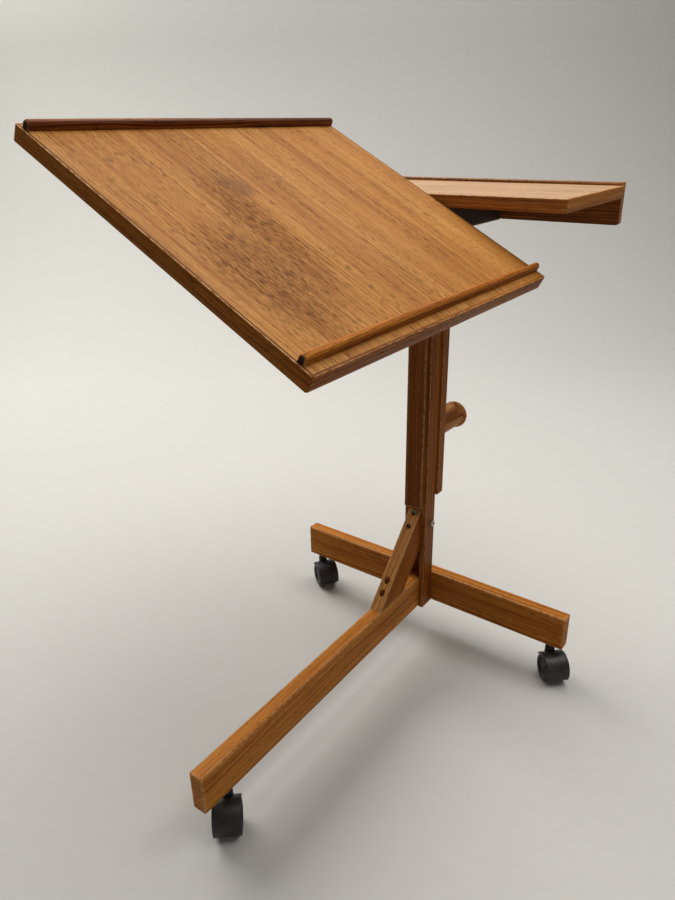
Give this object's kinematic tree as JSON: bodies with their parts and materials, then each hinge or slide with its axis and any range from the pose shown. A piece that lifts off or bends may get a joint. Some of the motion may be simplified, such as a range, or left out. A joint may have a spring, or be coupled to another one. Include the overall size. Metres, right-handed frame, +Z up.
{
  "type": "overbed table",
  "caption": "Teak overbed table: a fixed shelf and a tilting reading leaf on a height-adjustable mast over a T-shaped castor base.",
  "frame": {"origin": "on the floor, at the centre of the table's footprint with the leaf tilted as at rest", "axes": "+Z up, +X along the cross bar towards the leaf's lower edge, -Y along the long leg"},
  "size_m": [0.5352, 0.7576, 0.8463],
  "materials": {
    "teak_veneer": "oiled teak veneer, satin, grain across the leaf",
    "solid_teak": "oiled solid teak, satin",
    "dark_teak": "darker oiled teak, satin",
    "brace_teak": "paler sawn teak, satin",
    "black_nylon": "moulded black nylon",
    "zinc_steel": "dull zinc-plated steel"
  },
  "bodies": {
    "base": {"long_leg": "solid_teak", "cross_bar": "solid_teak", "left_post": "solid_teak", "right_post": "solid_teak", "post_spacer": "solid_teak", "post_top_spacer": "solid_teak", "post_bolt": "zinc_steel", "brace": "brace_teak", "leg_screw_1": "zinc_steel", "leg_screw_2": "zinc_steel", "post_screw_1": "zinc_steel", "post_screw_2": "zinc_steel", "leg_bolt_lower": "zinc_steel", "leg_bolt_upper": "zinc_steel", "castor_front_socket": "black_nylon", "castor_left_socket": "black_nylon", "castor_right_socket": "black_nylon"},
    "castor_front": {"castor_front_stem": "zinc_steel", "castor_front_hood": "black_nylon", "castor_front_axle": "zinc_steel"},
    "castor_front_wheel_near": {"castor_front_wheel_near": "black_nylon"},
    "castor_front_wheel_far": {"castor_front_wheel_far": "black_nylon"},
    "castor_left": {"castor_left_stem": "zinc_steel", "castor_left_hood": "black_nylon", "castor_left_axle": "zinc_steel"},
    "castor_left_wheel_near": {"castor_left_wheel_near": "black_nylon"},
    "castor_left_wheel_far": {"castor_left_wheel_far": "black_nylon"},
    "castor_right": {"castor_right_stem": "zinc_steel", "castor_right_hood": "black_nylon", "castor_right_axle": "zinc_steel"},
    "castor_right_wheel_near": {"castor_right_wheel_near": "black_nylon"},
    "castor_right_wheel_far": {"castor_right_wheel_far": "black_nylon"},
    "slide": {"front_board": "solid_teak", "back_board": "solid_teak", "slide_tongue": "solid_teak", "head_block": "solid_teak", "shelf_bearer": "dark_teak", "shelf_panel": "teak_veneer", "shelf_lipping_left": "solid_teak", "shelf_lipping_right": "solid_teak", "shelf_lipping_front": "solid_teak", "shelf_fence": "dark_teak", "clamp_stud": "zinc_steel", "clamp_washer": "zinc_steel", "pivot_plate": "zinc_steel", "pivot_rod": "zinc_steel"},
    "height_knob": {"height_knob": "solid_teak"},
    "leaf": {"leaf_panel": "teak_veneer", "leaf_lipping_high": "solid_teak", "leaf_lipping_low": "solid_teak", "leaf_lipping_end": "solid_teak", "leaf_lipping_mast": "solid_teak", "book_lip_high": "dark_teak", "book_lip_low": "solid_teak", "saddle_mast": "solid_teak", "saddle_end": "solid_teak"},
    "tilt_knob": {"tilt_knob": "solid_teak", "tilt_stud": "zinc_steel"}
  },
  "joints": [
    {"name": "castor_front_swivel", "type": "hinge", "parent": "base", "child": "castor_front", "pos_m": [-0.0129, -0.3312, 0], "axis": [0, 0, 1], "continuous": true},
    {"name": "castor_front_wheel_near_spin", "type": "hinge", "parent": "castor_front", "child": "castor_front_wheel_near", "pos_m": [-0.00153, -0.34383, 0.0228], "axis": [0.7431, 0.6691, 0], "continuous": true},
    {"name": "castor_front_wheel_far_spin", "type": "hinge", "parent": "castor_front", "child": "castor_front_wheel_far", "pos_m": [-0.00153, -0.34383, 0.0228], "axis": [0.7431, 0.6691, 0], "continuous": true},
    {"name": "castor_left_swivel", "type": "hinge", "parent": "base", "child": "castor_left", "pos_m": [-0.2451, 0.1801, 0], "axis": [0, 0, 1], "continuous": true},
    {"name": "castor_left_wheel_near_spin", "type": "hinge", "parent": "castor_left", "child": "castor_left_wheel_near", "pos_m": [-0.23117, 0.17035, 0.0228], "axis": [0.5736, 0.8192, 0], "continuous": true},
    {"name": "castor_left_wheel_far_spin", "type": "hinge", "parent": "castor_left", "child": "castor_left_wheel_far", "pos_m": [-0.23117, 0.17035, 0.0228], "axis": [0.5736, 0.8192, 0], "continuous": true},
    {"name": "castor_right_swivel", "type": "hinge", "parent": "base", "child": "castor_right", "pos_m": [0.2249, 0.1801, 0], "axis": [0, 0, 1], "continuous": true},
    {"name": "castor_right_wheel_near_spin", "type": "hinge", "parent": "castor_right", "child": "castor_right_wheel_near", "pos_m": [0.23671, 0.16787, 0.0228], "axis": [0.7193, 0.6947, 0], "continuous": true},
    {"name": "castor_right_wheel_far_spin", "type": "hinge", "parent": "castor_right", "child": "castor_right_wheel_far", "pos_m": [0.23671, 0.16787, 0.0228], "axis": [0.7193, 0.6947, 0], "continuous": true},
    {"name": "height_slide", "type": "slide", "parent": "base", "child": "slide", "axis": [0, 0, 1], "range_m": [0, 0.18]},
    {"name": "height_knob_turn", "type": "hinge", "parent": "slide", "child": "height_knob", "pos_m": [-0.0129, 0.1884, 0.381], "axis": [0, 1, 0], "range_deg": [0, 360]},
    {"name": "leaf_tilt", "type": "hinge", "parent": "slide", "child": "leaf", "pos_m": [-0.0129, 0.0538, 0.7244], "axis": [0, 1, 0], "range_deg": [-73.2, 16.8]},
    {"name": "tilt_knob_turn", "type": "hinge", "parent": "leaf", "child": "tilt_knob", "pos_m": [-0.0129, 0.0538, 0.7244], "axis": [0.4726, 0, 0.8813], "range_deg": [0, 360]}
  ]
}
